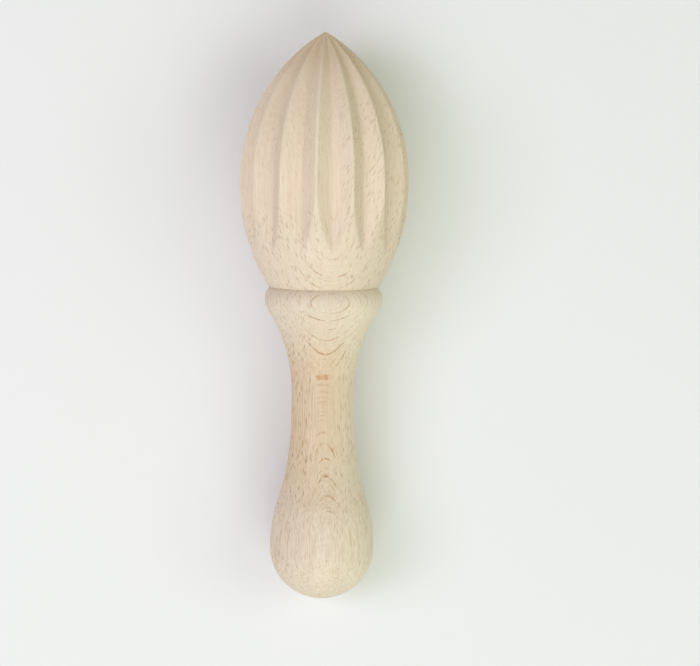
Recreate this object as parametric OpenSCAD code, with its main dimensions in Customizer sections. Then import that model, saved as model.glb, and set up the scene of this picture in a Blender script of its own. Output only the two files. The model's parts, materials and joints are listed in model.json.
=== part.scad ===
// Wooden lemon reamer: a fluted head doweled and glued to a turned handle.
// Both pieces are turned about Z, ball end down, and the reamer is then laid on its side with the tip
// towards +Y, where it rests on two ridges of the head and on the ball end. Sizes are in millimetres.

/* [Head] */
// Diameter of the head at its belly
belly_d = 49; // [44:0.5:54]
// Diameter of the blunt tip
tip_d = 0.6; // [0.4:0.1:2]
// Length of the nose, from the tip to the belly
nose_len = 42.5; // [38:0.5:48]
// Length of the straight belly
belly_len = 1; // [0.5:0.5:5]
// Length of the skirt, from the belly to the seam
skirt_len = 30; // [24:0.5:34]
// Diameter of the head's foot at the seam
foot_d = 31.6; // [28:0.2:35]

/* [Flutes] */
// Number of flutes round the head
flute_count = 14; // [10:2:18]
// Included angle of a flute's V
flute_angle = 120; // [105:1:130]
// Width of the land left between two flutes at the belly
land_w = 1.2; // [0.8:0.1:3]

/* [Handle] */
// How far the head's foot stands out over the top of the collar
foot_ledge = 0.4; // [0.2:0.1:1]
// How far the collar swells out past its top
collar_swell = 1.7; // [1:0.1:3]
// Height from the collar's widest circle up to the seam
collar_rise = 3.4; // [3.2:0.1:6]
// Radius of the collar's rounded underside
collar_round_r = 6; // [3:0.5:9]
// Length from the collar's widest circle down to the waist
neck_len = 26.7; // [20:0.1:30]
// Diameter of the waist
waist_d = 18.2; // [17:0.2:21]
// Length of the straight waist
waist_len = 7.9; // [4:0.1:20]
// Length from the waist down to the middle of the ball end
swell_len = 37.9; // [30:0.1:46]
// Radius of the shoulder above the ball end
shoulder_r = 46; // [35:1:55]
// Diameter of the ball end
ball_d = 30.2; // [27:0.2:34]

/* [Dowel joint] */
// Diameter of the joining dowel
dowel_d = 10; // [8:0.5:11]
// Length of the joining dowel
dowel_len = 40; // [30:1:46]
// Width of the chamfer at the dowel's ends
dowel_chamfer = 1; // [0.5:0.1:2]
// Number of glue grooves along the dowel
groove_count = 12; // [6:1:16]
// Radius of a glue groove
groove_r = 0.6; // [0.4:0.1:0.8]
// Depth of a glue groove
groove_depth = 0.4; // [0.2:0.1:0.6]
// Radial clearance for glue round the dowel
glue_gap = 0.05; // [0.02:0.01:0.1]
// Spare depth of each bore past the dowel's end
bore_spare = 2; // [1:0.5:4]

/* [Hidden] */

head_colour = [0.90, 0.82, 0.71];
handle_colour = [0.87, 0.77, 0.63];
dowel_colour = [0.80, 0.66, 0.50];

// Overlap that lets a cutter break through a face
cut_over = 1;
// Extra radius of a hollow, which makes it cross the convex arc above it and not just touch it
hollow_over = 0.05;
// How far a convex arc runs on into the hollow that it crosses
turn_over = 2;
// Radius at which the flutes' floors leave the blunt tip, as a share of the tip's own
tip_share = 0.84;
// How far above the belly the flutes' floors start to curve, clear of the belly's own edge
floor_rise = 1;

// Heights along the turning axis, from the ball's end up to the tip
ball_z = ball_d / 2;
waist_low_z = ball_z + swell_len;
waist_high_z = waist_low_z + waist_len;
collar_z = waist_high_z + neck_len;
seam_z = collar_z + collar_rise;
belly_low_z = seam_z + skirt_len;
belly_z = belly_low_z + belly_len;
tip_z = belly_z + nose_len;

// Radii of the turned circles
belly_r = belly_d / 2;
foot_r = foot_d / 2;
collar_top_r = foot_r - foot_ledge;
collar_r = collar_top_r + collar_swell;
waist_r = waist_d / 2;
ball_r = ball_d / 2;
tip_r = tip_d / 2;

// A size rounded to a micron
function micron(x) = round(1000 * x) / 1000;

// Radius of an arc that leaves the circle r1 parallel to the axis and reaches the circle r2 in length len
function arc_radius(len, r1, r2) = micron((len * len + (r1 - r2) * (r1 - r2)) / (2 * (r1 - r2)));

// A wide and a slim circle are joined in length len by a convex arc, of radius r, and a hollow arc:
// the hollow arc's radius, and the length that the convex arc takes up
function hollow_radius(len, r_wide, r_slim, r) = arc_radius(len, r_wide, r_slim) - r + hollow_over;
function convex_length(len, r_wide, r_slim, r) = micron(len * r / arc_radius(len, r_wide, r_slim));

// Arcs of the outline
nose_arc_r = arc_radius(nose_len, belly_r, tip_r);
skirt_arc_r = arc_radius(skirt_len, belly_r, foot_r);
collar_arc_r = arc_radius(collar_rise, collar_r, collar_top_r);
neck_hollow_r = hollow_radius(neck_len, collar_r, waist_r, collar_round_r);
neck_turn_z = collar_z - convex_length(neck_len, collar_r, waist_r, collar_round_r);
grip_hollow_r = hollow_radius(swell_len, ball_r, waist_r, shoulder_r);
grip_turn_z = ball_z + convex_length(swell_len, ball_r, waist_r, shoulder_r);

// Flutes: half their V and their pitch, half the angle that one takes up at the belly, the floor's
// radius, its arc along the nose, and the cutter
half_angle = flute_angle / 2;
half_pitch = 180 / flute_count;
edge_angle = half_pitch - asin(land_w / belly_d);
floor_r = micron(belly_r * sin(half_angle - edge_angle) / sin(half_angle));
floor_turn_z = belly_z + floor_rise;
floor_arc_r = arc_radius(tip_z - floor_turn_z, floor_r, tip_share * tip_r);
floor_sweep = asin((tip_z - floor_turn_z + tip_d) / floor_arc_r);
cutter_h = belly_r - floor_r + cut_over;
cutter_w = cutter_h * tan(half_angle);

// Dowel joint
bore_r = dowel_d / 2 + glue_gap;
bore_len = dowel_len / 2 + bore_spare;

// Lowest ridge at height z, a flute facing down: its angle from straight down, its radius, and how far
// it reaches below the axis
function skirt_at(z) = belly_r - skirt_arc_r + sqrt(pow(skirt_arc_r, 2) - pow(max(belly_low_z - z, 0), 2));
function flute_half(r) = half_angle - asin(min(1, floor_r * sin(half_angle) / r));
function ridge_angle(z) = max(0, min(half_pitch, flute_half(skirt_at(z))));
function ridge_r(z) = min(skirt_at(z), floor_r * sin(half_angle) / sin(half_angle - ridge_angle(z)));
function ridge_drop(z) = ridge_r(z) * cos(ridge_angle(z));

// Lying pose: the table touches the ball and, first of all heights, the ridge that needs the most tilt
function touch_tilt(z) =
    atan2(ridge_drop(z), z - ball_z) - asin(ball_r / norm([ridge_drop(z), z - ball_z]));
touch_step = 0.25;
lying_tilt = max([for (z = [seam_z : touch_step : belly_z]) touch_tilt(z)]);
ball_end_h = ball_r - ball_z * sin(lying_tilt);
middle_y = ((tip_z + ball_z) * cos(lying_tilt) - ball_r) / 2;

// Lays what is turned about Z on its side, with the middle of its box at the origin
module laid_down() {
    translate([0, -middle_y, ball_end_h])
        rotate([lying_tilt - 90, 0, 0])
            children();
}

// Half section between heights z1 and z2, out to radius r
module band(z1, z2, r) {
    polygon([[0, z1], [r, z1], [r, z2], [0, z2]]);
}

// Half section under a convex arc that is widest, r, at height z
module convex_band(z1, z2, z, r, arc_r) {
    intersection() {
        band(z1, z2, r + cut_over);
        union() {
            translate([r - arc_r, z])
                circle(r = arc_r);
            if (r > arc_r)
                band(z1, z2, r - arc_r);
        }
    }
}

// Half section under a hollow arc that is slimmest, r, at height z
module hollow_band(z1, z2, z, r, arc_r) {
    difference() {
        band(z1, z2, r + arc_r);
        translate([r + arc_r, z])
            circle(r = arc_r);
    }
}

// The V of a flute, its point at radius r
module flute_v(r) {
    polygon([[r, 0], [r + cutter_h, cutter_w], [r + cutter_h, -cutter_w]]);
}

// One flute, cut towards +X: its V swept up along the nose, and straight down past belly and skirt
module flute() {
    translate([floor_r - floor_arc_r, 0, floor_turn_z])
        rotate([90, 0, 0])
            rotate_extrude(angle = floor_sweep)
                flute_v(floor_arc_r);
    translate([0, 0, seam_z])
        linear_extrude(floor_turn_z - seam_z)
            flute_v(floor_r);
}

// Turned blank of the head, with its blind bore for the dowel
module head_blank() {
    difference() {
        rotate_extrude() {
            convex_band(belly_z, tip_z, belly_z, belly_r, nose_arc_r);
            band(belly_low_z, belly_z, belly_r);
            convex_band(seam_z, belly_low_z, belly_low_z, belly_r, skirt_arc_r);
        }
        translate([0, 0, seam_z - cut_over])
            cylinder(r = bore_r, h = bore_len + cut_over);
    }
}

// The blank with its first n flutes, cut one after another
module fluted_blank(n) {
    if (n == 0)
        head_blank();
    else
        difference() {
            fluted_blank(n - 1);
            rotate(90 + 2 * half_pitch * n)
                flute();
        }
}

// Pointed head with its flutes and the blind bore for the dowel
module reamer_head() {
    color(head_colour)
        laid_down()
            fluted_blank(flute_count);
}

// Grooved dowel, half in the head and half in the handle
module joint_dowel() {
    color(dowel_colour)
        laid_down()
            translate([0, 0, seam_z])
                difference() {
                    rotate_extrude()
                        polygon([
                            [0, -dowel_len / 2],
                            [dowel_d / 2 - dowel_chamfer, -dowel_len / 2],
                            [dowel_d / 2, -dowel_len / 2 + dowel_chamfer],
                            [dowel_d / 2, dowel_len / 2 - dowel_chamfer],
                            [dowel_d / 2 - dowel_chamfer, dowel_len / 2],
                            [0, dowel_len / 2]
                        ]);
                    for (i = [0 : groove_count - 1])
                        rotate(360 / groove_count * i)
                            translate([dowel_d / 2 + groove_r - groove_depth, 0, -dowel_len / 2 - cut_over])
                                cylinder(r = groove_r, h = dowel_len + 2 * cut_over);
                }
}

// Turned handle: ball end, shoulder, waist, neck and collar, with the blind bore for the dowel
module handle() {
    color(handle_colour)
        laid_down()
            difference() {
                rotate_extrude() {
                    convex_band(0, ball_z, ball_z, ball_r, ball_r);
                    convex_band(ball_z, grip_turn_z + turn_over, ball_z, ball_r, shoulder_r);
                    hollow_band(grip_turn_z, waist_low_z, waist_low_z, waist_r, grip_hollow_r);
                    band(waist_low_z, waist_high_z, waist_r);
                    hollow_band(waist_high_z, neck_turn_z, waist_high_z, waist_r, neck_hollow_r);
                    convex_band(neck_turn_z - turn_over, collar_z, collar_z, collar_r, collar_round_r);
                    convex_band(collar_z, seam_z, collar_z, collar_r, collar_arc_r);
                }
                translate([0, 0, seam_z - bore_len])
                    cylinder(r = bore_r, h = bore_len + cut_over);
            }
}

reamer_head();
joint_dowel();
handle();
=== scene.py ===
"""Looks of a turned beech lemon reamer, dressed over its solids.

Run as a script: it loads the frame, makes the fluted head and the handle as surfaces, gives them and the
joining dowel a beech material, and sets up the floor, the light and the camera. Lengths are in metres.
"""

import json
import math
from types import SimpleNamespace

import bpy
import numpy as np
from bpy.props import FloatProperty, FloatVectorProperty, IntProperty, PointerProperty
from mathutils import Matrix, Vector


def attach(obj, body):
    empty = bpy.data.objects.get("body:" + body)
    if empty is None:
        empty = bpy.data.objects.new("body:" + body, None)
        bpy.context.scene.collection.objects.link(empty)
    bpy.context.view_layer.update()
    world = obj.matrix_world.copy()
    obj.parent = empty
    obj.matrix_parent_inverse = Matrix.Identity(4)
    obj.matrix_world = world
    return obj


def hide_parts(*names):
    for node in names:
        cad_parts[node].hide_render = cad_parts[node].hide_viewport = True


bl_info = {
    "name": "Beech Lemon Reamer",
    "version": (1, 0, 0),
    "blender": (4, 5, 0),
    "location": "View3D > Sidebar > Reamer",
    "description": "Makes a turned beech lemon reamer with a fluted head, its stage and its light",
    "category": "Add Mesh",
}

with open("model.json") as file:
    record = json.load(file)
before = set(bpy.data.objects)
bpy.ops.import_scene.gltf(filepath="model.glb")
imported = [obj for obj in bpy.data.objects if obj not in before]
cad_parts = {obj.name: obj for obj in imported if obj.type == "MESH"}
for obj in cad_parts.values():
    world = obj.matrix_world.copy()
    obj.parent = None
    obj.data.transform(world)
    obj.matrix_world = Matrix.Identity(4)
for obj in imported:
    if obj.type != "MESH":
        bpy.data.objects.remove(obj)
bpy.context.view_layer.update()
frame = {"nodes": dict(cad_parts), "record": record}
BODY = "root"
MM = 0.001
# Name of the attribute that holds how strongly a highlight is painted on the head's ridges
HIGHLIGHT_ATTRIBUTE = "worn"
# Places of the directions right and along the grain in the wood's coordinates
RIGHT_WAY = 0
ALONG_WAY = 1

# The turning axis, from the waist's mount in the record
WAIST_MOUNT = next(m for m in frame["record"]["mounts"] if m["name"] == "waist_grip")
AXIS = Vector(WAIST_MOUNT["axis"]).normalized()
RIGHT = Vector((1.0, 0.0, 0.0))
UP = RIGHT.cross(AXIS)


def length(name, description, millimetres, least=0.0):
    """A length property whose default and least value are given in millimetres."""
    return FloatProperty(
        name=name, description=description, default=millimetres * MM, min=least * MM, precision=5,
        subtype="DISTANCE", unit="LENGTH",
    )


def turn(name, description, degrees):
    """An angle property whose default is given in degrees."""
    return FloatProperty(
        name=name, description=description, default=math.radians(degrees), subtype="ANGLE", unit="ROTATION"
    )


def share(name, description, value):
    """A factor property from 0 to 1."""
    return FloatProperty(
        name=name, description=description, default=value, min=0.0, max=1.0, subtype="FACTOR"
    )


def power(name, description, watts):
    """A lamp's power property, in watts."""
    return FloatProperty(
        name=name, description=description, default=watts, min=0.0, subtype="POWER", unit="POWER"
    )


def colour(name, description, red, green, blue):
    """A colour property whose default is given as 8-bit display values."""
    levels = np.array([red, green, blue]) / 255.0
    linear = np.where(levels > 0.04045, ((levels + 0.055) / 1.055) ** 2.4, levels / 12.92)
    return FloatVectorProperty(
        name=name, description=description, default=tuple(linear), size=3, min=0.0, max=1.0, subtype="COLOR"
    )


class ReamerHeadSizes(bpy.types.PropertyGroup):
    """Sizes of the fluted head."""

    belly_d: length("Belly diameter", "Diameter of the head at its belly", 49.0)
    tip_d: length("Tip diameter", "Diameter of the blunt tip", 0.6)
    nose_len: length("Nose length", "Length from the tip to the belly", 42.5)
    belly_len: length("Belly length", "Length of the straight belly", 1.0)
    skirt_len: length("Skirt length", "Length from the belly to the seam", 30.0)
    foot_d: length("Foot diameter", "Diameter of the head at the seam", 31.6)
    foot_round: length("Foot rounding", "Radius of the foot's worn edge", 0.15)
    flute_count: IntProperty(name="Flutes", description="Number of flutes", default=14, min=6, max=24)
    flute_angle: turn("Flute angle", "Included angle of a flute's V", 120.0)
    land_w: length("Land width", "Width of the land between two flutes at the belly", 1.2)
    floor_rise: length("Floor rise", "How far above the belly the flutes' floors start to curve", 1.0)
    tip_share: share("Tip share", "Radius of the flutes' floors at the tip, as a share of the tip's", 0.84)
    floor_round: length("Floor rounding", "How round the flutes' floors are at the belly", 0.6)
    ridge_cut: length("Ridge cut", "How far the flutes' walls are cut back at the belly", 0.26)
    ridge_round: length("Ridge rounding", "How much sanding took off the ridges", 0.08)
    # A pale highlight is painted on the head's ridges down to this depth
    highlight_d: length("Highlight depth", "How far down from a ridge a pale highlight is painted", 0.12)
    depth_spread: length("Depth spread", "Spread of the flutes' depths", 0.07)
    angle_spread: turn("Angle spread", "Spread of the flutes' places round the head", 0.3)
    place_shift: turn("Place shift", "How far the flutes on top are turned to the right", 0.7)
    place_swing: turn("Place swing", "How far the flutes at the sides are turned up to the top", 1.9)
    seed: IntProperty(name="Seed", description="Seed of the flutes' spread", default=7)


class ReamerHandleSizes(bpy.types.PropertyGroup):
    """Sizes of the handle and of the dowel joint."""

    foot_ledge: length("Foot ledge", "How far the head stands out over the collar's top", 0.4)
    collar_swell: length("Collar swell", "How far the collar swells out past its top", 1.7)
    collar_rise: length("Collar rise", "Height from the collar's widest circle to the seam", 3.4)
    collar_round_r: length("Collar underside", "Radius of the collar's rounded underside", 6.0)
    neck_len: length("Neck length", "Length from the collar's widest circle to the waist", 26.7)
    waist_d: length("Waist diameter", "Diameter of the waist", 18.2)
    waist_len: length("Waist length", "Length of the straight waist", 7.9)
    swell_len: length("Swell length", "Length from the waist to the middle of the ball end", 37.9)
    shoulder_r: length("Shoulder radius", "Radius of the shoulder above the ball end", 46.0)
    ball_d: length("Ball diameter", "Diameter of the ball end", 30.2)
    bore_d: length("Bore diameter", "Diameter of the dowel's bores", 10.1)
    bore_len: length("Bore depth", "Depth of the dowel's bores", 22.0)
    relief_d: length("Seam relief depth", "How far the collar's top falls away at its edge", 0.04)
    relief_w: length("Seam relief width", "Width of the collar's top that falls away", 1.0)
    edge_round: length("Collar edge rounding", "Radius of the collar's top edge", 0.12)


class ReamerBeechLook(bpy.types.PropertyGroup):
    """Colours and figure of the beech."""

    head_pale: colour("Head, pale", "Colour of the head's outer wood", 229, 211, 189)
    head_tan: colour("Head, tan", "Colour of the head's wood near the axis", 219, 196, 168)
    handle_pale: colour("Handle, pale", "Colour of the handle's outer wood", 222, 208, 189)
    handle_tan: colour("Handle, tan", "Colour of the handle's wood near the axis", 214, 190, 157)
    # This pale colour is also painted on the head's ridges as a highlight
    cut: colour("Pale wood and ridge highlight", "Colour of the pale wood, also painted on the head's ridges as a highlight", 238, 226, 206)
    line: colour("Ring lines", "Colour of the lines between growth rings", 182, 134, 88)
    fleck: colour("Ray flecks", "Colour of the ray flecks", 170, 130, 96)
    mark: colour("Bark mark", "Colour of the bark mark on the neck", 196, 140, 84)
    dowel: colour("Dowel wood", "Colour of the joining dowel", 214, 182, 142)
    tan_r: length("Tan core", "Distance from the axis within which the wood is tan", 7.5)
    pale_r: length("Pale shell", "Distance from the axis beyond which the wood is pale", 15.5)
    ring_gap: length("Ring spacing", "Distance between growth rings", 1.39)
    ring_start: length("Ring start", "Height above the axis of one ring line", 9.47)
    pith_gap: length("Ring radius", "Radius of the rings' layers across the grain", 160.0)
    ball_gap: length("Ring radius at the ball", "Radius of the upturned layers at the ball end", 11.0)
    lean: turn("Lean", "Turn of the rings' layers about the axis, towards the right", -1.7)
    sway: turn("Sway", "How far the lean sways along the grain", 3.0)
    sway_len: length("Sway length", "Length of one sway along the grain", 70.0)
    sway_top: length("Sway peak", "Height above the butt at which the lean is largest", 95.0)
    drift: share("Drift", "How far the handle's wood pales towards the right", 0.6)
    # Strength of the pale highlight painted on the head's ridges
    worn: share("Ridge highlight", "How pale the highlight painted on the head's ridges is", 0.5)
    foot_fade: share("Foot fade", "How far the head's wood takes the handle's tone towards the seam", 0.7)
    butt_h: length("Pale butt", "Height above the butt below which the wood is pale", 14.0)
    mark_h: length("Bark mark height", "Height of the bark mark above the butt", 65.5)
    mark_w: length("Bark mark width", "Half width of the bark mark", 2.0)
    mark_len: length("Bark mark length", "Half length of the bark mark along the grain", 0.85)
    head_rise: turn("Head rise", "How steeply the head's rings rise towards the tip", 11.0)
    dip_start: length("Dip start", "Height above the butt below which the rings dip", 29.0)
    dip_arc: length("Dip radius", "Radius of the arc in which the rings dip", 15.0)


class ReamerStageLook(bpy.types.PropertyGroup):
    """Floor, light and camera."""

    floor: colour("Floor", "Colour of the floor", 235, 236, 238)
    key_power: power("Key light", "Power of the light from the left", 5.7)
    high_power: power("High light", "Power of the light from high on the left", 1.9)
    butt_power: power("Butt light", "Power of the soft light from the ball end", 10.4)
    fill_power: power("Fill light", "Power of the light from the right", 3.3)
    sky_level: share("Sky level", "Strength of the light from all round", 0.351)
    distance: length("Camera distance", "Distance from the camera to the reamer's middle", 900.0)
    view_w: length("View width", "Width of the view at the reamer's middle", 203.43)
    roll: turn("View roll", "How far the view comes from the left of straight above", 6.7)
    twist: turn("View twist", "Turn of the picture about the line of sight", -0.125)
    aim_x: length("Aim right", "Place of the picture's middle, to the right of the origin", 7.85)
    aim_y: length("Aim along", "Place of the picture's middle, along the reamer", -4.64, -99.0)
    aim_z: length("Aim height", "Height of the picture's middle above the floor", 20.0)


def heights(head, handle):
    """Heights of the turned circles along the axis, counted from the butt."""
    ball = handle.ball_d / 2
    waist_low = ball + handle.swell_len
    waist_high = waist_low + handle.waist_len
    collar = waist_high + handle.neck_len
    seam = collar + handle.collar_rise
    belly_low = seam + head.skirt_len
    belly = belly_low + head.belly_len
    return SimpleNamespace(
        ball=ball, waist_low=waist_low, waist_high=waist_high, collar=collar,
        seam=seam, belly_low=belly_low, belly=belly, tip=belly + head.nose_len,
    )


def butt_point(level):
    """The point on the axis at the ball end, found from the middle of the waist."""
    return Vector(WAIST_MOUNT["pos_m"]) - AXIS * (level.waist_low + level.waist_high) / 2


def arc_radius(run, wide, slim):
    """Radius of an arc that leaves the circle wide parallel to the axis and reaches slim over run."""
    return (run**2 + (wide - slim) ** 2) / (2 * (wide - slim))


def convex(away, wide, arc):
    """Radius of the outline at a distance away from a bulge: wide - arc + sqrt(arc^2 - away^2)."""
    return wide - arc + np.sqrt(np.maximum(arc**2 - away**2, 0.0))


def hollow(away, slim, arc):
    """Radius of the outline at a distance away from a waist: slim + arc - sqrt(arc^2 - away^2)."""
    return slim + arc - np.sqrt(np.maximum(arc**2 - away**2, 0.0))


def soft_min(a, b, width):
    """The smaller of a and b, the corner between them rounded: (a + b - sqrt((a - b)^2 + width^2)) / 2."""
    return (a + b - np.sqrt((a - b) ** 2 + width**2)) / 2


def corner(centre_h, centre_r, radius, start, end, steps):
    """Points of a small rounded corner: a circle about (centre_h, centre_r) from angle start to end,
    angles counted from outwards towards the tip."""
    angle = np.radians(np.linspace(start, end, steps))
    return centre_h + radius * np.sin(angle), centre_r + radius * np.cos(angle)


def turned_points(level, height, radius, angle):
    """Points at a height along the axis, a radius from it and an angle from the top towards the right."""
    out = np.multiply.outer(np.sin(angle), np.array(RIGHT)) + np.multiply.outer(np.cos(angle), np.array(UP))
    return np.array(butt_point(level)) + height[..., None] * np.array(AXIS) + radius[..., None] * out


# Angle past which an edge of a turned piece is shaded as a sharp one
SHARP_ANGLE = math.radians(40)


def turned_mesh(name, points, first_pole, last_pole, worn=None):
    """A closed mesh from a grid of rings: quads between rings, and a fan of triangles at each pole.
    Rings follow one another from the first pole to the last, outside of the wood towards the tip, and their
    points go from the top to the right, so that the normals face out. How strongly a highlight is painted at
    each point goes into an attribute."""
    rows, columns = points.shape[:2]
    vertices = np.concatenate([points.reshape(-1, 3), [first_pole, last_pole]])
    index = np.arange(rows * columns).reshape(rows, columns)
    after = np.roll(index, -1, axis=1)
    quads = np.stack([index[:-1], after[:-1], after[1:], index[1:]], axis=-1).reshape(-1, 4)
    low_fan = np.stack([np.full(columns, rows * columns), after[0], index[0]], axis=-1)
    high_fan = np.stack([np.full(columns, rows * columns + 1), index[-1], after[-1]], axis=-1)
    corners = np.concatenate([quads.ravel(), low_fan.ravel(), high_fan.ravel()])
    totals = np.concatenate([np.full(len(quads), 4), np.full(2 * columns, 3)])
    starts = np.concatenate([[0], np.cumsum(totals)[:-1]])
    mesh = bpy.data.meshes.new(name)
    mesh.vertices.add(len(vertices))
    mesh.vertices.foreach_set("co", vertices.astype(np.float32).ravel())
    mesh.loops.add(len(corners))
    mesh.loops.foreach_set("vertex_index", corners.astype(np.int32))
    mesh.polygons.add(len(totals))
    mesh.polygons.foreach_set("loop_start", starts.astype(np.int32))
    mesh.polygons.foreach_set("loop_total", totals.astype(np.int32))
    mesh.polygons.foreach_set("use_smooth", np.ones(len(totals), dtype=bool))
    mesh.update(calc_edges=True)
    mesh.validate()
    if worn is not None:
        attribute = mesh.attributes.new(HIGHLIGHT_ATTRIBUTE, "FLOAT", "POINT")
        attribute.data.foreach_set("value", np.append(worn.ravel(), [0.0, 1.0]).astype(np.float32))
    mesh.set_sharp_from_angle(angle=SHARP_ANGLE)
    return mesh


def add_piece(mesh, material, node):
    """Puts a mesh into the scene as the piece that stands for a node."""
    mesh.materials.append(material)
    piece = bpy.data.objects.new(mesh.name, mesh)
    bpy.context.scene.collection.objects.link(piece)
    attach(piece, BODY)
    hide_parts(node)
    return piece


def blank_radius(head, level, height):
    """Outline of the head before its flutes are cut: skirt arc, straight belly, nose arc."""
    belly_r = head.belly_d / 2
    skirt_arc = arc_radius(head.skirt_len, belly_r, head.foot_d / 2)
    nose_arc = arc_radius(head.nose_len, belly_r, head.tip_d / 2)
    skirt = convex(np.maximum(level.belly_low - height, 0.0), belly_r, skirt_arc)
    nose = convex(np.maximum(height - level.belly, 0.0), belly_r, nose_arc)
    return np.minimum(skirt, nose)


def flute_floor(head):
    """Radius of the flutes' floors at the belly.

    A wall that leaves the floor at half the V's angle, h, meets the belly's circle R at the angle
    e = pi / count - asin(land width / 2 R) from the floor, so the floor is at R sin(h - e) / sin(h).
    """
    half = head.flute_angle / 2
    edge = math.pi / head.flute_count - math.asin(head.land_w / head.belly_d)
    return head.belly_d / 2 * math.sin(half - edge) / math.sin(half)


def flute_radius(head, level, height, away):
    """Radius of a flute's wall at an angle away from its floor.

    The floor is straight up to its bend and an arc of radius R about (c, bend) along the nose. A wall
    point at radius r has v = r sin(away) and stands R + v / tan(half angle) from the arc's centre, so
    (r cos(away) - c)^2 + d^2 = (R + r k)^2 with k = sin(away) / tan(half angle), solved for r. The floor
    is rounded by sqrt(sin(away)^2 + share^2) in place of sin(away), and the wall then cut back.
    """
    belly_r = head.belly_d / 2
    floor_r = flute_floor(head)
    bend = level.belly + head.floor_rise
    arc = arc_radius(level.tip - bend, floor_r, head.tip_share * head.tip_d / 2)
    d = np.maximum(height - bend, 0.0)
    k = np.hypot(np.sin(away), head.floor_round / belly_r) / math.tan(head.flute_angle / 2)
    c = floor_r - arc
    square = np.cos(away) ** 2 - k**2
    linear = c * np.cos(away) + arc * k
    constant = c**2 + d**2 - arc**2
    root = np.sqrt(np.maximum(linear**2 - square * constant, 0.0))
    cut_back = head.ridge_cut * blank_radius(head, level, height) / belly_r
    return (linear + root) / square - cut_back


# How often the search for a flute's edge halves its range
HALVINGS = 24


def flute_edge(head, level, height):
    """Angle from a flute's floor to the edge where its wall meets the blank, found by halving."""
    blank = blank_radius(head, level, height)
    low = np.zeros_like(height)
    high = np.full_like(height, math.pi / head.flute_count)
    for _ in range(HALVINGS):
        middle = (low + high) / 2
        cut = flute_radius(head, level, height, middle) < blank
        low = np.where(cut, middle, low)
        high = np.where(cut, high, middle)
    return low


# Grid lines on a flute's wall and on half a land, and the least and most of a half flute that a wall takes up
WALL_STEPS = 12
LAND_STEPS = 2
LEAST_WALL = 0.2
MOST_WALL = 0.97


def head_columns(head, level, height):
    """Angles of the head's grid lines, ring by ring, with each line's flute floor and extra depth.

    Floor i is at 2 pi i / count, plus the place shift on top, less the place swing at the sides, plus a
    random part. Each flute has lines from land to floor to land. The share of a half flute that its wall
    takes up follows the wall's edge, so grid lines run along the lands and round the lance-shaped ends.
    """
    count = head.flute_count
    pitch = 2 * math.pi / count
    draw = np.random.default_rng(head.seed)
    even = pitch * np.arange(count)
    floor = even + head.place_shift * (1 + np.cos(even)) / 2 - head.place_swing * np.sin(even)
    floor = floor + draw.uniform(-1, 1, count) * head.angle_spread
    deeper = draw.uniform(-1, 1, count) * head.depth_spread
    wall = np.linspace(0.0, 1.0, WALL_STEPS + 1)
    land = np.linspace(0.0, 1.0, LAND_STEPS + 1)[1:]
    edge = np.clip(flute_edge(head, level, height) / (pitch / 2), LEAST_WALL, MOST_WALL)[:, None]
    rise = np.concatenate([edge * wall, edge + (1 - edge) * land], axis=1)
    before = np.roll(floor, 1)
    before[0] -= 2 * math.pi
    after = np.roll(floor, -1)
    after[-1] += 2 * math.pi
    left = rise[:, None, :0:-1] * ((floor - before) / 2)[:, None]
    right = rise[:, None, :-1] * ((after - floor) / 2)[:, None]
    angle = np.concatenate([floor[:, None] - left, floor[:, None] + right], axis=2)
    lines = 2 * (WALL_STEPS + LAND_STEPS)
    return angle.reshape(len(height), -1), np.repeat(floor, lines), np.repeat(deeper, lines)


# Rings of both bores and of the head's outside, and the radii of the rings at a bore's end, as shares
BORE_RINGS = 6
FOOT_RINGS = 5
FOOT_ROUND_RINGS = 7
SKIRT_RINGS = 83
BELLY_RINGS = 5
NOSE_RINGS = 121
BORE_END_SHARES = np.array([0.4, 0.8, 1.0])
# Power of the sine that spaces the nose's rings: past 1 it draws them a little towards the belly
NOSE_CROWDING = 1.15
# Least rounding of a ridge, at the tip, as a share of its rounding at the belly
LEAST_ROUNDING = 0.02
# Share of a half flute that a wall takes up where a painted highlight starts on the ridges, and where it is
# full
HIGHLIGHT_START = 0.8
HIGHLIGHT_FULL = 0.9


def ridge_highlights(head, level, height, blank, radius):
    """Highlight painted pale on the head's ridges: 1 at the blank's surface, falling to 0 at the highlight
    depth below it, and only where the flutes leave narrow lands."""
    depth = head.highlight_d * blank / (head.belly_d / 2)
    worn = np.clip(1.0 - (blank - radius) / depth, 0.0, 1.0)
    wall_share = flute_edge(head, level, height) * head.flute_count / math.pi
    narrow = np.clip((wall_share - HIGHLIGHT_START) / (HIGHLIGHT_FULL - HIGHLIGHT_START), 0.0, 1.0)
    return worn * narrow[:, None]


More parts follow.
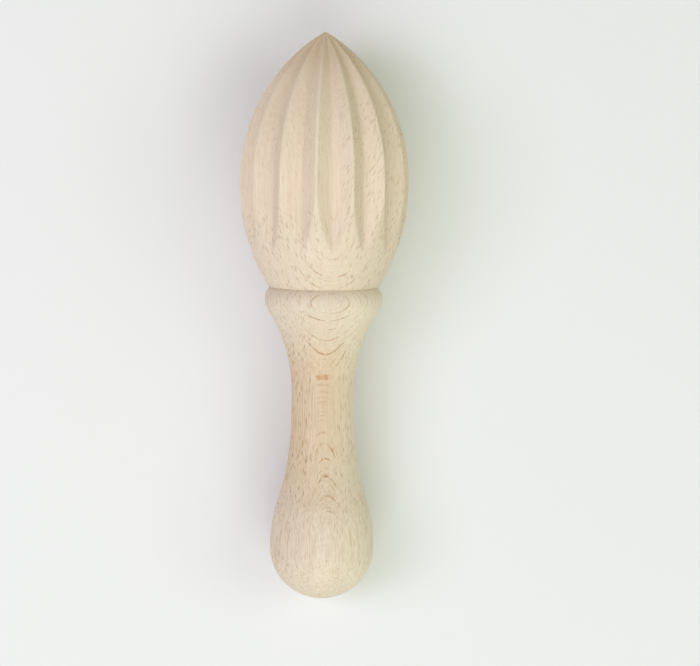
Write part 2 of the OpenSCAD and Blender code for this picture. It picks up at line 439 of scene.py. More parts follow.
def head_mesh(head, handle):
    """The head as one closed grid: bore end, bore wall, foot, rounded edge, fluted outside, tip.
    Outside, r = soft minimum of the blank and of the nearest flute's wall."""
    level = heights(head, handle)
    bore_r = handle.bore_d / 2
    bore_end = level.seam + handle.bore_len
    foot_r = head.foot_d / 2
    skirt_slope = math.asin(head.skirt_len / arc_radius(head.skirt_len, head.belly_d / 2, foot_r))
    round_h, round_r = corner(
        level.seam + head.foot_round, foot_r - head.foot_round, head.foot_round,
        -90.0, -math.degrees(skirt_slope), FOOT_ROUND_RINGS,
    )
    inner_h = np.concatenate([
        np.full(len(BORE_END_SHARES), bore_end),
        np.linspace(bore_end, level.seam, BORE_RINGS + 1)[1:],
        np.full(FOOT_RINGS, level.seam),
        round_h,
    ])
    inner_r = np.concatenate([
        bore_r * BORE_END_SHARES,
        np.full(BORE_RINGS, bore_r),
        np.linspace(bore_r, round_r[0], FOOT_RINGS + 1)[1:],
        round_r,
    ])
    inner_r[-len(round_r):] += blank_radius(head, level, round_h[-1:]) - round_r[-1]
    skirt_h = np.linspace(round_h[-1], level.belly_low, SKIRT_RINGS + 1)[1:]
    belly_h = np.linspace(level.belly_low, level.belly, BELLY_RINGS + 1)[1:]
    nose_share = np.sin(np.linspace(0.0, math.pi / 2, NOSE_RINGS + 1)[1:]) ** NOSE_CROWDING
    height = np.concatenate([inner_h, skirt_h, belly_h, level.belly + head.nose_len * nose_share])
    angle, floor, deeper = head_columns(head, level, height)
    column_h = np.repeat(height[:, None], angle.shape[1], axis=1)
    blank = blank_radius(head, level, column_h)
    rounding = head.ridge_round * np.clip(blank / (head.belly_d / 4), LEAST_ROUNDING, 1.0)
    fade = np.clip((level.tip - column_h) / head.nose_len, 0.0, 1.0)
    wall = flute_radius(head, level, column_h, np.abs(angle - floor)) - deeper * fade
    radius = soft_min(wall, blank, rounding)
    radius[: len(inner_r)] = inner_r[:, None]
    # A pale highlight is painted on the ridges; none on the bore, the foot and its rounded edge
    worn = ridge_highlights(head, level, height, blank, radius)
    worn[: len(inner_r)] = 0.0
    points = turned_points(level, column_h, radius, angle)
    butt = butt_point(level)
    return turned_mesh("reamer_head_wood", points, butt + AXIS * bore_end, butt + AXIS * level.tip, worn)


def handle_outline(handle, foot_r, level, height):
    """Outline of the handle above the ball's middle: shoulder, hollow, waist, hollow, collar underside and
    collar top, each an arc's formula, or the waist's straight line, between its own heights."""
    ball_r = handle.ball_d / 2
    waist_r = handle.waist_d / 2
    top_r = foot_r - handle.foot_ledge
    collar_r = top_r + handle.collar_swell
    neck_arc = arc_radius(handle.neck_len, collar_r, waist_r)
    grip_arc = arc_radius(handle.swell_len, ball_r, waist_r)
    neck_turn = level.collar - handle.neck_len * handle.collar_round_r / neck_arc
    grip_turn = level.ball + handle.swell_len * handle.shoulder_r / grip_arc
    return np.select(
        [height < grip_turn, height < level.waist_low, height < level.waist_high, height < neck_turn,
         height < level.collar],
        [
            convex(height - level.ball, ball_r, handle.shoulder_r),
            hollow(level.waist_low - height, waist_r, grip_arc - handle.shoulder_r),
            np.full_like(height, waist_r),
            hollow(height - level.waist_high, waist_r, neck_arc - handle.collar_round_r),
            convex(level.collar - height, collar_r, handle.collar_round_r),
        ],
        convex(height - level.collar, collar_r, arc_radius(handle.collar_rise, collar_r, top_r)),
    )


# Rings of the handle's grid, stretch by stretch, and its columns
BALL_RINGS = 48
BODY_RINGS = 189
COLLAR_RINGS = 25
COLLAR_ROUND_RINGS = 5
RELIEF_RINGS = 7
TOP_RINGS = 3
HANDLE_COLUMNS = 192


def handle_mesh(head, handle):
    """The handle as one closed grid of rings: ball end, outline, eased collar edge, top, bore. The ball end
    is h = R (1 - cos a), r = R sin a, and above it the outline's formulas hold."""
    level = heights(head, handle)
    foot_r = head.foot_d / 2
    bore_r = handle.bore_d / 2
    ball_angle = np.linspace(0.0, math.pi / 2, BALL_RINGS + 1)[1:]
    ball_h = level.ball * (1 - np.cos(ball_angle))
    ball_r = handle.ball_d / 2 * np.sin(ball_angle)
    edge_h = level.seam - handle.relief_d - handle.edge_round
    body_h = np.concatenate([
        np.linspace(level.ball, level.collar, BODY_RINGS + 1)[1:],
        np.linspace(level.collar, edge_h, COLLAR_RINGS + 1)[1:],
    ])
    body_r = handle_outline(handle, foot_r, level, body_h)
    round_h, round_r = corner(
        edge_h, body_r[-1] - handle.edge_round, handle.edge_round, 0.0, 90.0, COLLAR_ROUND_RINGS + 1
    )
    inner_edge = round_r[-1] - handle.relief_w
    ease = np.linspace(0.0, 1.0, RELIEF_RINGS + 1)[1:]
    top_h = round_h[-1] + (level.seam - round_h[-1]) * ease
    top_r = round_r[-1] - handle.relief_w * ease
    bore_end = level.seam - handle.bore_len
    end_r = bore_r * BORE_END_SHARES[-2::-1]
    height = np.concatenate([
        ball_h, body_h, round_h[1:], top_h, np.full(TOP_RINGS, level.seam),
        np.linspace(level.seam, bore_end, BORE_RINGS + 1)[1:], np.full(len(end_r), bore_end),
    ])
    radius = np.concatenate([
        ball_r, body_r, round_r[1:], top_r, np.linspace(inner_edge, bore_r, TOP_RINGS + 1)[1:],
        np.full(BORE_RINGS, bore_r), end_r,
    ])
    around = np.linspace(0.0, 2 * math.pi, HANDLE_COLUMNS, endpoint=False)
    angle = np.repeat(around[None, :], len(height), axis=0)
    columns = np.ones(HANDLE_COLUMNS)
    points = turned_points(level, np.outer(height, columns), np.outer(radius, columns), angle)
    butt = butt_point(level)
    return turned_mesh("handle_wood", points, butt, butt + AXIS * bore_end)


class NodeMaker:
    """Short calls that add nodes to one tree and join them. A value is a number, a colour or a socket."""

    def __init__(self, tree):
        self.tree = tree

    def node(self, kind, inputs=None, **options):
        """Adds a node, sets it up and feeds its inputs."""
        made = self.tree.nodes.new(kind)
        for name, value in options.items():
            setattr(made, name, value)
        self.feed(made, inputs or {})
        return made

    def feed(self, node, inputs):
        """Links a node's inputs to sockets, or sets them to values."""
        for key, value in inputs.items():
            if isinstance(value, bpy.types.NodeSocket):
                self.tree.links.new(value, node.inputs[key])
            else:
                node.inputs[key].default_value = value

    def math(self, operation, *values):
        """A Math node's result."""
        return self.node("ShaderNodeMath", dict(enumerate(values)), operation=operation).outputs[0]

    def product(self, first, *others):
        """All the values multiplied with each other."""
        for other in others:
            first = self.math("MULTIPLY", first, other)
        return first

    def between(self, factor, first, second):
        """A number that goes from first, where the factor is 0, to second, where it is 1."""
        return self.math("MULTIPLY_ADD", factor, second - first, first)

    def rest(self, factor):
        """What is left of 1."""
        return self.math("SUBTRACT", 1.0, factor)

    def distance(self, value, middle):
        """How far a value is from a middle one."""
        return self.math("ABSOLUTE", self.math("SUBTRACT", value, middle))

    def parts(self, vector):
        """A vector's three parts."""
        return self.node("ShaderNodeSeparateXYZ", {0: vector}).outputs

    def step(self, value, start, full):
        """0 at start and before it, 1 at full and past it, and a smooth change between them."""
        inputs = {"Value": value, "From Min": start, "From Max": full}
        return self.node("ShaderNodeMapRange", inputs, interpolation_type="SMOOTHSTEP").outputs[0]

    def cells(self, vector, cell):
        """Coordinates in which a cell of that many millimetres each way is one unit."""
        inputs = {0: vector, 1: tuple(1 / side for side in cell)}
        return self.node("ShaderNodeVectorMath", inputs, operation="MULTIPLY").outputs[0]

    def noise(self, vector, cell, detail=3.0, roughness=0.6):
        """Smooth noise from 0 to 1, about one swing a cell."""
        inputs = {"Vector": self.cells(vector, cell), "Scale": 1.0, "Detail": detail, "Roughness": roughness}
        return self.node("ShaderNodeTexNoise", inputs).outputs["Fac"]

    def swing(self, vector, cell, detail=2.0):
        """Smooth noise about zero, from -0.5 to 0.5."""
        return self.math("SUBTRACT", self.noise(vector, cell, detail, 0.5), 0.5)

    def mix(self, factor, first, second):
        """A colour between first, at 0, and second, at 1."""
        inputs = {0: factor, 6: first, 7: second}
        return self.node("ShaderNodeMix", inputs, data_type="RGBA").outputs[2]


def wood_place(maker, level):
    """Coordinates in millimetres in the reamer's own directions: right, along the grain, up."""
    turned = Matrix((RIGHT, AXIS, UP)).transposed().to_euler()
    inputs = {
        "Vector": maker.node("ShaderNodeTexCoord").outputs["Object"],
        "Location": butt_point(level),
        "Rotation": turned,
        "Scale": (MM, MM, MM),
    }
    return maker.node("ShaderNodeMapping", inputs, vector_type="TEXTURE").outputs[0]


# Figure of the beech, in millimetres. A cell is the size of one swing of a noise: right, along the grain, up.
# A pair holds where a change starts and where it is full: heights along the grain above the butt, distances
# from the axis or from a middle line, or levels of a noise. A pair of shares holds the strengths at its ends.
BOW_TURN = (48.0, 30.0)
# Waves of the rings' layers, each with its cell, its detail and its depth
RING_WAVES = (
    ((16.0, 55.0, 16.0), 1.0, 0.35),
    ((20.0, 1.9, 20.0), 0.0, 0.08),
    ((3.0, 12.0, 3.0), 2.0, 0.08),
)


def ring_height(maker, place, look, rise):
    """Height in millimetres through the growth rings, which lie as nearly flat layers.

    height = up + right * (lean + sway * cos(2 pi (along - peak) / length)) + bow * right^2
    + max(dip start - along, 0)^2 / (2 dip radius) - along * tan(rise) + waves. The bow is
    1 / (2 ring radius), and turns to -1 / (2 ring radius at the ball) towards the ball end.
    """
    right, along, up = maker.parts(place)
    wave = maker.math("SUBTRACT", along, look.sway_top / MM)
    wave = maker.math("COSINE", maker.math("MULTIPLY", wave, 2 * math.pi * MM / look.sway_len))
    slope = maker.math("MULTIPLY_ADD", wave, look.sway, look.lean)
    height = maker.math("MULTIPLY_ADD", right, slope, up)
    flat_bow = MM / (2 * look.pith_gap)
    ball_bow = -MM / (2 * look.ball_gap)
    bow = maker.between(maker.step(along, *BOW_TURN), flat_bow, ball_bow)
    height = maker.math("ADD", height, maker.product(bow, right, right))
    dip = maker.math("MAXIMUM", maker.math("SUBTRACT", look.dip_start / MM, along), 0.0)
    height = maker.math("MULTIPLY_ADD", maker.product(dip, dip), MM / (2 * look.dip_arc), height)
    height = maker.math("MULTIPLY_ADD", along, -math.tan(rise), height)
    for cell, detail, depth in RING_WAVES:
        swing = maker.swing(place, cell, detail)
        height = maker.math("MULTIPLY_ADD", swing, depth, height)
    return height


# Clouds that shift the border between tan and pale wood, streaks, and the pale band down the ball end
CLOUD_CELL = (11.0, 34.0, 11.0)
CLOUD_DEPTH = 5.0
STREAK_CELL = (1.1, 32.0, 1.1)
DARK_STREAKS = (0.5, 0.75)
PALE_STREAKS = (0.5, 0.25)
STREAK_SHARE = 0.30
BALL_STREAK_SHARE = 0.60
BALL_START = (36.0, 28.0)
BAND_MIDDLE = -0.6
BAND_EDGE = (3.4, 1.8)
BAND_START = (32.0, 24.0)
BAND_SHARE = 0.22


def wood_tone(maker, place, far, look, wood):
    """Colour of the plain wood: tan near the axis, pale outside and at the butt, with a slow fade to another
    tone along one direction, a pale band down the ball end, and streaks along the grain."""
    ways = maker.parts(place)
    right, along, _ = ways
    tan = (*wood.tan, 1.0)
    cut = (*look.cut, 1.0)
    depth = maker.math("MULTIPLY_ADD", maker.swing(place, CLOUD_CELL), CLOUD_DEPTH, far)
    butt = maker.step(along, look.butt_h / MM, 0.0)
    depth = maker.math("MULTIPLY_ADD", butt, look.pale_r / MM, depth)
    tone = maker.mix(maker.step(depth, look.tan_r / MM, look.pale_r / MM), tan, (*wood.pale, 1.0))
    fade = maker.step(ways[wood.fade_way], wood.fade_start, wood.fade_end)
    tone = maker.mix(maker.product(fade, wood.fade_share), tone, (*wood.fade_tone, 1.0))
    middle = maker.step(maker.distance(right, BAND_MIDDLE), *BAND_EDGE)
    band = maker.product(middle, maker.step(along, *BAND_START), BAND_SHARE)
    tone = maker.mix(band, tone, cut)
    streak = maker.noise(place, STREAK_CELL)
    streaked = maker.between(maker.step(along, *BALL_START), STREAK_SHARE, BALL_STREAK_SHARE)
    tone = maker.mix(maker.product(maker.step(streak, *DARK_STREAKS), streaked), tone, tan)
    return maker.mix(maker.product(maker.step(streak, *PALE_STREAKS), STREAK_SHARE), tone, cut)


# Share of a ring at which its late wood starts and is full, and over which it ends
LATE_START = (0.78, 0.95)
LATE_END = (0.97, 1.0)


def late_wood(maker, rings):
    """A line that darkens over the last part of each ring and ends sharply."""
    within = maker.math("FRACT", rings)
    return maker.product(maker.step(within, *LATE_START), maker.rest(maker.step(within, *LATE_END)))


# Small arcs at the waist: how they bow, per millimetre, above and below, and how far they reach sideways
ARC_TURN = (66.0, 50.0)
ARC_BOW_ABOVE = 0.04
ARC_BOW_BELOW = 0.30
ARC_MIDDLE = -1.0
ARC_EDGE = (2.6, 0.4)
ARC_CELL = (1.0, 1.0, 1.0)
ARC_LEVELS = (0.48, 0.66)
ARC_SHARE = 0.6


def waist_arcs(maker, right, along):
    """Strength of small arcs along the middle of the waist, where the layers only graze the surface: noise
    with one swing a millimetre over along + bow * aside^2."""
    bow = maker.between(maker.step(along, *ARC_TURN), ARC_BOW_ABOVE, ARC_BOW_BELOW)
    aside = maker.math("SUBTRACT", right, ARC_MIDDLE)
    arched = maker.math("ADD", maker.product(bow, aside, aside), along)
    layer = maker.node("ShaderNodeCombineXYZ", {1: arched}).outputs[0]
    arcs = maker.step(maker.noise(layer, ARC_CELL, 1.0, 0.5), *ARC_LEVELS)
    return maker.product(arcs, maker.step(maker.math("ABSOLUTE", aside), *ARC_EDGE), ARC_SHARE)


# Ring lines: the noise that breaks them up, where they change, and their shares. The edges are those of the
# strip along the middle of the top, which is narrower low on the handle.
BREAK_CELL = (3.0, 3.0, 3.0)
BREAK_LEVELS = (0.40, 0.62)
FINE_BREAK_CELL = (1.8, 2.6, 1.8)
FINE_BREAK_LEVELS = (0.46, 0.62)
FINE_LINES = 3.0
LOW_START = (48.0, 42.0)
OUTER_FADE = (17.5, 21.0)
BALL_FADE = (31.0, 24.0)
NOSE_FADE = (108.0, 118.0)
WAIST_MIDDLE = 57.5
WAIST_REACH = (12.5, 10.0)
RING_SHARES = (0.45, 0.90)
FINE_SHARES = (0.35, 0.95)
OUTER_SHARES = (1.1, 0.45)
EDGE_STARTS = (4.0, 2.0)
EDGE_ENDS = (9.0, 5.0)
EDGE_SHARES = (0.55, 0.80)
BALL_SHARES = (1.0, 0.25)
NOSE_SHARES = (1.0, 0.12)
ARC_BREAK_SHARES = (0.35, 1.0)


def ring_lines(maker, place, far, height, look):
    """Strength of the dark lines between growth rings, with two finer lines within each ring. Noise breaks
    them up. They are strongest along the middle of the top, fade outwards, on the nose and at the ball end,
    are finer and narrower low on the handle, and give way to small arcs at the waist."""
    right, along, _ = maker.parts(place)
    rings = maker.math("SUBTRACT", height, look.ring_start / MM)
    rings = maker.math("DIVIDE", rings, look.ring_gap / MM)
    number = {"W": maker.math("FLOOR", rings)}
    vary = maker.node("ShaderNodeTexWhiteNoise", number, noise_dimensions="1D").outputs["Value"]
    breaks = maker.step(maker.noise(place, BREAK_CELL), *BREAK_LEVELS)
    line = maker.product(late_wood(maker, rings), breaks, maker.between(vary, *RING_SHARES))
    fine_breaks = maker.step(maker.noise(place, FINE_BREAK_CELL), *FINE_BREAK_LEVELS)
    fine_line = maker.product(late_wood(maker, maker.product(rings, FINE_LINES)), fine_breaks)
    low = maker.step(along, *LOW_START)
    line = maker.math("MULTIPLY_ADD", fine_line, maker.between(low, *FINE_SHARES), line)

    outward = maker.between(maker.step(far, *OUTER_FADE), *OUTER_SHARES)
    edge_start = maker.between(low, *EDGE_STARTS)
    edge_end = maker.between(low, *EDGE_ENDS)
    edge = maker.step(maker.math("ABSOLUTE", right), edge_start, edge_end)
    sideways = maker.rest(maker.product(edge, maker.between(low, *EDGE_SHARES)))
    downward = maker.between(maker.step(along, *BALL_FADE), *BALL_SHARES)
    upward = maker.between(maker.step(along, *NOSE_FADE), *NOSE_SHARES)
    at_waist = maker.step(maker.distance(along, WAIST_MIDDLE), *WAIST_REACH)
    line = maker.product(line, outward, sideways, downward, upward, maker.rest(at_waist))
    arc_breaks = maker.between(fine_breaks, *ARC_BREAK_SHARES)
    arcs = maker.product(waist_arcs(maker, right, along), arc_breaks, at_waist)
    return maker.math("ADD", line, arcs)


# Ray flecks: their cells, how many show, how large they are, and where they fade
FLECK_CELL = (0.45, 3.3, 1.3)
FLECK_CHOICE = (0.05, 0.55)
FLECK_EDGE = (0.34, 0.16)
FLECK_SIDE = (-6.0, 2.0)
FLECK_OUTER = (9.5, 16.0)
FLECK_BUTT = (3.0, 9.0)
FLECK_BUTT_SHARES = (0.15, 0.90)
MARKED_MIDDLE = -1.2
MARKED_STRIP = (2.2, 3.6)
HEAD_STRIP = (1.5, 4.0)
HEAD_TIP = (154.0, 138.0)
HEAD_SKIRT = (120.0, 110.0)


def ray_flecks(maker, place, far, wood):
    """Strength of the short dark ray flecks: some cells of a grid drawn out along the grain hold one. They
    fade away from the axis, on one side and at the butt. On marked wood the middle strip is clear. On the
    head they lean outwards towards the tip, and are clear of the middle and the tip."""
    right, along, up = maker.parts(place)
    aside = maker.math("ABSOLUTE", right)
    leaned = maker.math("MULTIPLY_ADD", along, -wood.fleck_lean, aside) if wood.fleck_lean else right
    grain = maker.node("ShaderNodeCombineXYZ", {0: leaned, 1: along, 2: up}).outputs[0]
    inputs = {"Vector": maker.cells(grain, FLECK_CELL), "Scale": 1.0}
    cells = maker.node("ShaderNodeTexVoronoi", inputs).outputs
    pick = maker.node("ShaderNodeSeparateColor", {0: cells["Color"]}).outputs[0]
    fleck = maker.product(maker.step(cells["Distance"], *FLECK_EDGE), maker.step(pick, *FLECK_CHOICE))
    sideways = maker.between(maker.step(right, *FLECK_SIDE), wood.fleck_left, wood.fleck_right)
    outward = maker.between(maker.step(far, *FLECK_OUTER), 1.0, wood.fleck_outer)
    upward = maker.between(maker.step(along, *FLECK_BUTT), *FLECK_BUTT_SHARES)
    if wood.marked:
        upward = maker.product(upward, maker.step(maker.distance(right, MARKED_MIDDLE), *MARKED_STRIP))
    if wood.fleck_lean:
        outward = maker.product(outward, maker.step(aside, *HEAD_STRIP), maker.step(along, *HEAD_TIP))
        sideways = maker.math("MAXIMUM", sideways, maker.step(along, *HEAD_SKIRT))
    return maker.product(fleck, sideways, outward, upward)


# Bark mark: its middle to the right and up, its height, how ragged it is, and how it darkens to its ends
MARK_RIGHT = -1.2
MARK_UP = 9.0
MARK_DEPTH = 3.0
MARK_RAG_CELL = (0.9, 0.6, 0.9)
MARK_RAG = 1.2
MARK_EDGE = (1.0, 0.6)
MARK_ENDS = (0.2, 0.8)
MARK_SHARES = (0.55, 0.85)


def bark_mark(maker, place, look):
    """Strength of one short brown mark across the grain, on the top of the neck: a box with ragged edges,
    darker towards its two ends."""
    inputs = {
        "Vector": place,
        "Location": (MARK_RIGHT, look.mark_h / MM, MARK_UP),
        "Scale": (look.mark_w / MM, look.mark_len / MM, MARK_DEPTH),
    }
    within = maker.node("ShaderNodeMapping", inputs, vector_type="TEXTURE").outputs[0]
    across, along, _ = maker.parts(within)
    aside = maker.math("ABSOLUTE", across)
    reach = maker.math("MAXIMUM", aside, maker.math("ABSOLUTE", along))
    ragged = maker.swing(place, MARK_RAG_CELL)
    reach = maker.math("MULTIPLY_ADD", ragged, MARK_RAG, reach)
    strength = maker.between(maker.step(aside, *MARK_ENDS), *MARK_SHARES)
    return maker.product(maker.step(reach, *MARK_EDGE), strength)


# Fibre: its cell, its dark and pale levels and shares, and where on the waist it is darkest
FIBRE_CELL = (0.32, 9.0, 0.32)
DARK_FIBRE = (0.40, 0.75)
PALE_FIBRE = (0.60, 0.25)
FIBRE_SHARE = 0.15
BALL_FIBRE_SHARE = 0.33
WAIST_FIBRE_SHARE = 0.22
PALE_FIBRE_SHARE = 0.25
FIBRE_MIDDLE = 55.0
FIBRE_REACH = (20.0, 12.0)
FIBRE_LEFT = (-1.5, -5.0)


def fibre_strength(maker, place):
    """Strength of the dark fibre, which shows more on the ball end and on the left of the waist."""
    right, along, _ = maker.parts(place)
    ball = maker.between(maker.step(along, *BALL_START), FIBRE_SHARE, BALL_FIBRE_SHARE)
    near_waist = maker.step(maker.distance(along, FIBRE_MIDDLE), *FIBRE_REACH)
    waist = maker.product(near_waist, maker.step(right, *FIBRE_LEFT))
    return maker.math("MULTIPLY_ADD", waist, WAIST_FIBRE_SHARE, ball)


# Fine relief of the surface: shares of fibre and of pits at lines and flecks, and the bump's own strength
FIBRE_DEPTH = 0.5
PIT_DEPTH = 0.6
BUMP_STRENGTH = 0.25
BUMP_DEPTH = 0.12
# Gloss of bare sanded wood
LEAST_ROUGH = 0.50
MOST_ROUGH = 0.66
WOOD_SPECULAR = 0.35


def beech_material(name, look, level, wood):
    """Bare sanded beech: tone, layered growth rings, broken ring lines, ray flecks and fibre."""
    material = bpy.data.materials.new(name)
    material.use_nodes = True
    tree = material.node_tree
    tree.nodes.clear()
    maker = NodeMaker(tree)
    place = wood_place(maker, level)
    right, _, up = maker.parts(place)
    far = maker.math("SQRT", maker.math("MULTIPLY_ADD", right, right, maker.product(up, up)))
    height = ring_height(maker, place, look, wood.rise)

    line = ring_lines(maker, place, far, height, look)
    ray = ray_flecks(maker, place, far, wood)
    fibre = maker.noise(place, FIBRE_CELL)
    cut = (*look.cut, 1.0)
    fleck = (*look.fleck, 1.0)
    tone = wood_tone(maker, place, far, look, wood)
    dark = maker.product(maker.step(fibre, *DARK_FIBRE), fibre_strength(maker, place))
    tone = maker.mix(dark, tone, fleck)
    tone = maker.mix(maker.product(maker.step(fibre, *PALE_FIBRE), PALE_FIBRE_SHARE), tone, cut)
    tone = maker.mix(line, tone, (*look.line, 1.0))
    tone = maker.mix(ray, tone, fleck)
    if wood.marked:
        tone = maker.mix(bark_mark(maker, place, look), tone, (*look.mark, 1.0))
    # The head's ridges get a painted highlight in the pale cut-wood colour
    if wood.worn:
        ridge = maker.node("ShaderNodeAttribute", attribute_name=HIGHLIGHT_ATTRIBUTE).outputs["Fac"]
        tone = maker.mix(maker.product(ridge, wood.worn), tone, cut)

    pits = maker.product(maker.math("ADD", line, ray), -PIT_DEPTH)
    pits = maker.math("MULTIPLY_ADD", fibre, FIBRE_DEPTH, pits)
    bump_inputs = {"Height": pits, "Strength": BUMP_STRENGTH, "Distance": BUMP_DEPTH * MM}
    bump = maker.node("ShaderNodeBump", bump_inputs).outputs[0]
    rough = maker.between(fibre, LEAST_ROUGH, MOST_ROUGH)
    inputs = {"Base Color": tone, "Roughness": rough, "Normal": bump, "Specular IOR Level": WOOD_SPECULAR}
    shader = maker.node("ShaderNodeBsdfPrincipled", inputs)
    maker.node("ShaderNodeOutputMaterial", {0: shader.outputs[0]})
    return material


def beech_piece(pale, tan, **changes):
    """What sets one piece of beech apart. Unless changed, its rings don't rise, its flecks fade outwards and
    to the right, and it has no fade of tone, no mark and no painted highlight on its ridges."""
    wood = dict(
        pale=pale, tan=tan, rise=0.0, marked=False, worn=0.0,
        fleck_lean=0.0, fleck_outer=0.55, fleck_left=1.0, fleck_right=0.6,
        fade_way=RIGHT_WAY, fade_start=0.0, fade_end=1.0, fade_share=0.0, fade_tone=tan,
    )
    return SimpleNamespace(**(wood | changes))


def head_wood(look, level):
    """The head's beech: its rings rise to the tip, it takes the handle's tone at its foot, and its ridges
    get a painted highlight.
    """
    return beech_piece(
        look.head_pale, look.head_tan, rise=look.head_rise, worn=look.worn,
        fleck_lean=0.47, fleck_outer=0.65, fleck_left=0.4, fleck_right=1.0,
        fade_way=ALONG_WAY, fade_start=level.belly_low / MM, fade_end=level.seam / MM,
        fade_share=look.foot_fade, fade_tone=look.handle_pale,
    )


def handle_wood(look, handle):
    """The handle's beech, which is paler on the right and has a bark mark on the neck."""
    return beech_piece(
        look.handle_pale, look.handle_tan, marked=True,
        fade_end=handle.waist_d / (2 * MM), fade_share=look.drift, fade_tone=look.cut,
    )


def settings(context):
    """The settings of the head, the handle and the beech, and the heights that follow from them."""
    scene = context.scene
    head = scene.reamer_head
    handle = scene.reamer_handle
    return head, handle, scene.reamer_beech, heights(head, handle)


class REAMER_OT_head(bpy.types.Operator):
    """Make the fluted head"""

    bl_idname = "reamer.head"
    bl_label = "Fluted Head"

    def execute(self, context):
        head, handle, look, level = settings(context)
        material = beech_material("head_beech", look, level, head_wood(look, level))
        add_piece(head_mesh(head, handle), material, "reamer_head")
        return {"FINISHED"}


class REAMER_OT_handle(bpy.types.Operator):
    """Make the turned handle"""

    bl_idname = "reamer.handle"
    bl_label = "Turned Handle"

    def execute(self, context):
        head, handle, look, level = settings(context)
        material = beech_material("handle_beech", look, level, handle_wood(look, handle))
        add_piece(handle_mesh(head, handle), material, "handle")
        return {"FINISHED"}


class REAMER_OT_dowel(bpy.types.Operator):
    """Give the joining dowel its wood"""

    bl_idname = "reamer.dowel"
    bl_label = "Joining Dowel"

    def execute(self, context):
        _, _, look, level = settings(context)
        wood = beech_piece(look.dowel, look.dowel)
        dowel = frame["nodes"]["joint_dowel"]
        dowel.data.materials.clear()
        dowel.data.materials.append(beech_material("dowel_beech", look, level, wood))
        return {"FINISHED"}


# Floor: half its width in metres, its gloss, and the distances between which it fades into the pale ground
FLOOR_REACH = 3.0
FLOOR_ROUGH = 0.9
FLOOR_SPECULAR = 0.1
FLOOR_FADE = (0.2, 0.7)


def floor_material(name, base):
    """An even matt finish for the floor, which the camera sees fade far off into a plain pale ground."""
    material = bpy.data.materials.new(name)
    material.use_nodes = True
    tree = material.node_tree
    maker = NodeMaker(tree)
    shader = tree.nodes["Principled BSDF"]
    pale = (*base, 1.0)
    maker.feed(shader, {"Base Color": pale, "Roughness": FLOOR_ROUGH, "Specular IOR Level": FLOOR_SPECULAR})
    place = maker.node("ShaderNodeTexCoord").outputs["Object"]
    away = maker.node("ShaderNodeVectorMath", {0: place}, operation="LENGTH").outputs["Value"]
    seen = maker.node("ShaderNodeLightPath").outputs["Is Camera Ray"]
    far_off = maker.math("MULTIPLY", seen, maker.step(away, *FLOOR_FADE))
    ground = maker.node("ShaderNodeEmission", {"Color": pale}).outputs[0]
    faded = maker.node("ShaderNodeMixShader", {0: far_off, 1: shader.outputs[0], 2: ground}).outputs[0]
    maker.feed(tree.nodes["Material Output"], {"Surface": faded})
    return material


def add_floor(stage):
    """A wide flat floor at the height that the reamer lies on."""
    reach = FLOOR_REACH
    mesh = bpy.data.meshes.new("floor")
    corners = [(-reach, -reach, 0.0), (reach, -reach, 0.0), (reach, reach, 0.0), (-reach, reach, 0.0)]
    mesh.from_pydata(corners, [], [(0, 1, 2, 3)])
    mesh.materials.append(floor_material("floor_pale", stage.floor))
    floor = bpy.data.objects.new("floor", mesh)
    bpy.context.scene.collection.objects.link(floor)


# Tints of the light: violet from the left and olive all round, so that both together are nearly white
KEY_TINT = (0.835, 0.738, 1.0)
SKY_TINT = (0.92, 1.0, 0.67)
# Lamps, each with its place and width in metres, the setting that holds its power, and its tint
LAMPS = (
    ("key", (-0.85, 0.0, 1.0), 0.6, "key_power", KEY_TINT),
    ("high_light", (-0.45, 0.0, 1.22), 0.45, "high_power", KEY_TINT),
    ("butt_light", (0.0, -1.0, 1.0), 1.4, "butt_power", (0.95, 1.0, 0.95)),
    ("fill", (0.85, 0.0, 1.0), 0.8, "fill_power", (1.0, 1.0, 1.0)),
)


def add_area_light(name, place, width, watts, tint):
    """A square area light that faces the origin."""
    light = bpy.data.lights.new(name, "AREA")
    light.shape = "SQUARE"
    light.size = width
    light.energy = watts
    light.color = tint
    lamp = bpy.data.objects.new(name, light)
    lamp.location = place
    lamp.rotation_euler = (-Vector(place)).to_track_quat("-Z", "Y").to_euler()
    bpy.context.scene.collection.objects.link(lamp)


def add_sky(stage):
    """Even light from all round, in which the camera sees the floor's own pale colour."""
    world = bpy.data.worlds.new("soft_sky")
    world.use_nodes = True
    tree = world.node_tree
    maker = NodeMaker(tree)
    light = tree.nodes["Background"]
    maker.feed(light, {"Color": (*SKY_TINT, 1.0), "Strength": stage.sky_level})
    pale = maker.node("ShaderNodeBackground", {"Color": (*stage.floor, 1.0), "Strength": 1.0}).outputs[0]
    seen = maker.node("ShaderNodeLightPath").outputs["Is Camera Ray"]
    sky = maker.node("ShaderNodeMixShader", {0: seen, 1: light.outputs[0], 2: pale}).outputs[0]
    maker.feed(tree.nodes["World Output"], {"Surface": sky})
    bpy.context.scene.world = world


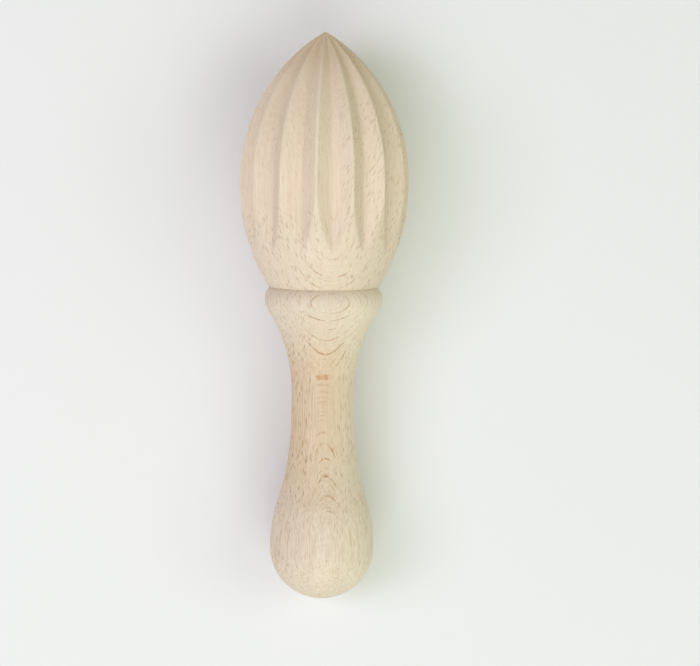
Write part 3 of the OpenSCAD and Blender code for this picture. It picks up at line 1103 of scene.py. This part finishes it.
def add_camera(stage):
    """A long lens from straight above, rolled to the left about the reamer's length."""
    roll = Matrix.Rotation(-stage.roll, 3, "Y")
    twist = Matrix.Rotation(stage.twist, 3, "Z")
    turned = roll @ twist
    aim = Vector((stage.aim_x, stage.aim_y, stage.aim_z))
    camera = bpy.data.cameras.new("camera")
    camera.sensor_fit = "HORIZONTAL"
    camera.lens = camera.sensor_width * stage.distance / stage.view_w
    camera.clip_start = stage.distance / 10
    camera.clip_end = stage.distance * 10
    eye = bpy.data.objects.new("camera", camera)
    eye.matrix_world = Matrix.Translation(aim + turned @ Vector((0, 0, stage.distance))) @ turned.to_4x4()
    bpy.context.scene.collection.objects.link(eye)
    bpy.context.scene.camera = eye


class REAMER_OT_stage(bpy.types.Operator):
    """Set up the floor, the light and the camera"""

    bl_idname = "reamer.stage"
    bl_label = "Stage"

    def execute(self, context):
        stage = context.scene.reamer_stage
        add_floor(stage)
        for name, place, width, setting, tint in LAMPS:
            add_area_light(name, place, width, getattr(stage, setting), tint)
        add_sky(stage)
        add_camera(stage)
        context.scene.view_settings.view_transform = "Standard"
        return {"FINISHED"}


class REAMER_PT_panel(bpy.types.Panel):
    """Lists the reamer's pieces, sizes and looks"""

    bl_idname = "REAMER_PT_panel"
    bl_label = "Lemon Reamer"
    bl_space_type = "VIEW_3D"
    bl_region_type = "UI"
    bl_category = "Reamer"

    def draw(self, context):
        for operator, group in STEPS:
            box = self.layout.box()
            box.operator(operator)
            values = getattr(context.scene, group)
            for name in values.__annotations__:
                box.prop(values, name)


STEPS = (
    ("reamer.head", "reamer_head"),
    ("reamer.handle", "reamer_handle"),
    ("reamer.dowel", "reamer_beech"),
    ("reamer.stage", "reamer_stage"),
)
GROUPS = {
    "reamer_head": ReamerHeadSizes,
    "reamer_handle": ReamerHandleSizes,
    "reamer_beech": ReamerBeechLook,
    "reamer_stage": ReamerStageLook,
}
CLASSES = (
    *GROUPS.values(), REAMER_OT_head, REAMER_OT_handle, REAMER_OT_dowel, REAMER_OT_stage, REAMER_PT_panel,
)


def register():
    """Registers the classes and hangs the settings on the scene."""
    for item in CLASSES:
        bpy.utils.register_class(item)
    for name, group in GROUPS.items():
        setattr(bpy.types.Scene, name, PointerProperty(type=group))


def unregister():
    """Takes the settings and the classes away again."""
    for name in GROUPS:
        delattr(bpy.types.Scene, name)
    for item in reversed(CLASSES):
        bpy.utils.unregister_class(item)


def main():
    """Makes every piece and the stage."""
    register()
    bpy.ops.reamer.head()
    bpy.ops.reamer.handle()
    bpy.ops.reamer.dowel()
    bpy.ops.reamer.stage()


if __name__ == "__main__":
    main()
